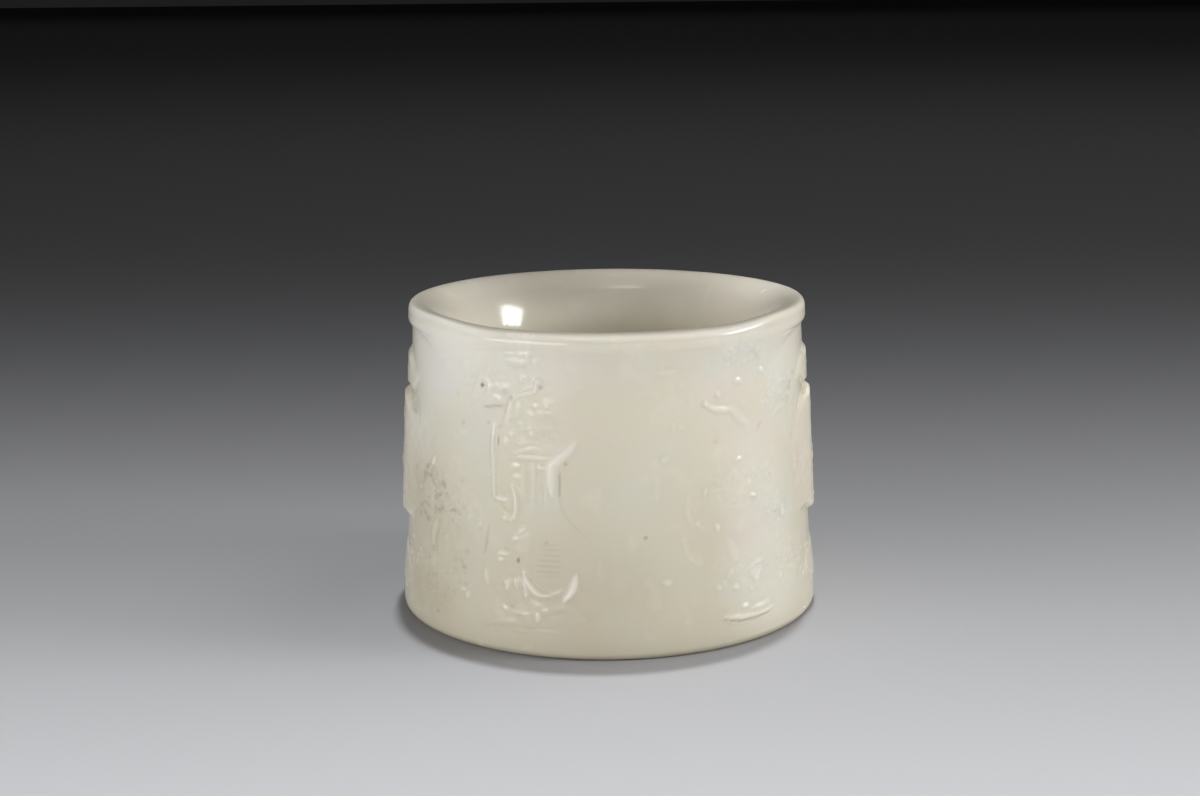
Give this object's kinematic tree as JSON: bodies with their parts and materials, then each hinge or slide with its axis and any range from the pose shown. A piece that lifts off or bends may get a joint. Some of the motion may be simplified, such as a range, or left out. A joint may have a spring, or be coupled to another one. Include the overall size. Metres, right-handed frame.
{
  "type": "archer's thumb ring",
  "caption": "Thick tapered ring of pale jade with an open thumb bore, a dished mouth, thin plain lips at both ends and a low relief landscape carved round the outside.",
  "frame": {"origin": "centre of the flat wide end that the ring stands on", "axes": "+Z along the thumb bore, towards the dished mouth; -Y is the front of the carving"},
  "size_m": [0.0314, 0.0314, 0.0231],
  "materials": {
    "jade": "waxy polish, pale grey-green with cloudy patches"
  },
  "bodies": {
    "root": {"thumb_ring": "jade"}
  },
  "joints": []
}
